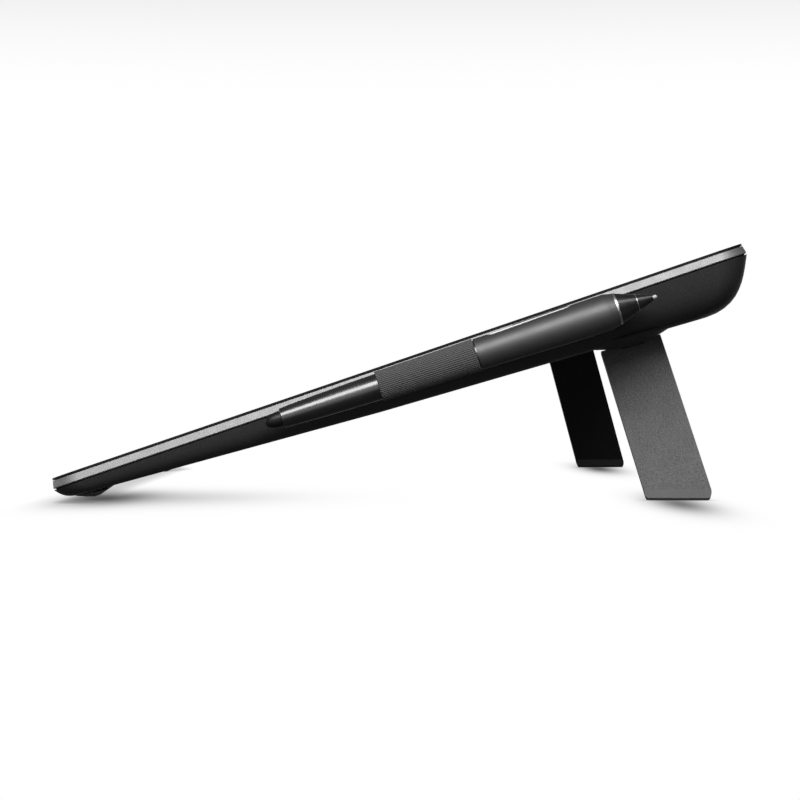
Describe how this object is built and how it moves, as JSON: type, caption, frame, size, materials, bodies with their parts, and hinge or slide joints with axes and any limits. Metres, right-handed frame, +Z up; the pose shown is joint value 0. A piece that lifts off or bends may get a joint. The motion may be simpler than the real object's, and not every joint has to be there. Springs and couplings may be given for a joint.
{
  "type": "pen display tablet",
  "caption": "Flat wedge-shaped drawing tablet with a built-in screen, propped on fold-out rear legs, its pen held along the right edge in a ribbed fabric loop.",
  "frame": {"origin": "midway between the flats on which the two front rubber feet meet the desk", "axes": "+X to the right of the person using it, +Y from that person to the rear, +Z up from the desk"},
  "size_m": [0.437, 0.2708, 0.1002],
  "materials": {
    "front_glass": "clear, over a black border",
    "silver_frame": "satin",
    "dark_cover": "fine-grained soft-touch",
    "rubber": "matte",
    "foot_rubber": "matte",
    "tape": "matte",
    "display_module": "satin",
    "backlight": "satin",
    "circuit_board": "satin",
    "chip": "matte",
    "steel": "satin",
    "polyimide": "satin",
    "light_pipe": "gloss",
    "label": "satin",
    "white_plastic": "satin",
    "woven_elastic": "ribbed weave",
    "pen_rubber": "soft-touch",
    "pen_plastic": "gloss",
    "chrome_trim": "polished",
    "button_plastic": "satin",
    "copper": "satin",
    "sensor_metal": "satin"
  },
  "bodies": {
    "tablet": {"front_panel": "front_glass", "panel_tape": "tape", "front_frame": "silver_frame", "rear_cover": "dark_cover", "lcd_panel": "display_module", "backlight_unit": "backlight", "digitizer_board": "circuit_board", "chassis_plate": "steel", "main_board": "circuit_board", "board_chips": "chip", "port_board": "circuit_board", "port_socket": "steel", "driver_board": "circuit_board", "button_board": "circuit_board", "power_led_pipe": "light_pipe", "flex_cables": "polyimide", "chassis_screws": "steel", "board_screws": "steel", "cover_screws": "steel", "front_feet": "rubber", "rear_pads": "rubber", "rating_label": "label", "lock_slot_plate": "steel", "right_hinge_bracket": "steel", "left_hinge_bracket": "steel", "right_hinge_pin": "steel", "left_hinge_pin": "steel", "right_detent_spring": "steel", "left_detent_spring": "steel", "hinge_screws": "steel", "spare_nibs": "white_plastic", "nib_puller": "steel", "loop_anchor": "dark_cover", "pen_loop": "woven_elastic"},
    "right_leg": {"right_leg": "dark_cover", "right_leg_foot": "foot_rubber", "right_leg_sole": "rubber"},
    "left_leg": {"left_leg": "dark_cover", "left_leg_foot": "foot_rubber", "left_leg_sole": "rubber"},
    "power_button": {"power_button": "button_plastic"},
    "pen": {"pen_barrel": "pen_plastic", "pen_grip": "pen_rubber", "pen_nose": "pen_plastic", "pen_nose_tip": "pen_plastic", "pen_ring": "chrome_trim", "pen_switch_bezel": "chrome_trim", "pen_board": "circuit_board", "pen_coil": "copper", "pen_load_cell": "sensor_metal", "pen_eraser_sensor": "sensor_metal"},
    "pen_nib": {"pen_nib": "white_plastic"},
    "pen_switch": {"pen_switch": "button_plastic"},
    "pen_eraser": {"pen_eraser": "pen_rubber"}
  },
  "joints": [
    {"name": "right_leg_hinge", "type": "hinge", "parent": "tablet", "child": "right_leg", "pos_m": [0.171, 0.21891, 0.06566], "axis": [0, 0.961, 0.2766], "range_deg": [0, 106]},
    {"name": "left_leg_hinge", "type": "hinge", "parent": "tablet", "child": "left_leg", "pos_m": [-0.171, 0.21891, 0.06566], "axis": [0, -0.961, -0.2766], "range_deg": [0, 106]},
    {"name": "power_button_press", "type": "slide", "parent": "tablet", "child": "power_button", "axis": [0, -0.9472, -0.3206], "range_m": [0, 0.0005], "stiffness_N_per_m": 600, "springref_m": -0.0005},
    {"name": "pen_pull", "type": "slide", "parent": "tablet", "child": "pen", "axis": [0, 0.9516, 0.3074], "range_m": [0, 0.165]},
    {"name": "nib_press", "type": "slide", "parent": "pen", "child": "pen_nib", "axis": [0, -0.9516, -0.3074], "range_m": [0, 0.0005], "stiffness_N_per_m": 200, "springref_m": -0.0003},
    {"name": "side_switch_rock", "type": "hinge", "parent": "pen", "child": "pen_switch", "pos_m": [0.219, 0.18161, 0.07034], "axis": [1, 0, 0], "range_deg": [-3, 3], "stiffness_Nm_per_rad": 0.2},
    {"name": "eraser_press", "type": "slide", "parent": "pen", "child": "pen_eraser", "axis": [0, 0.9516, 0.3074], "range_m": [0, 0.0008], "stiffness_N_per_m": 200, "springref_m": -0.0003}
  ]
}
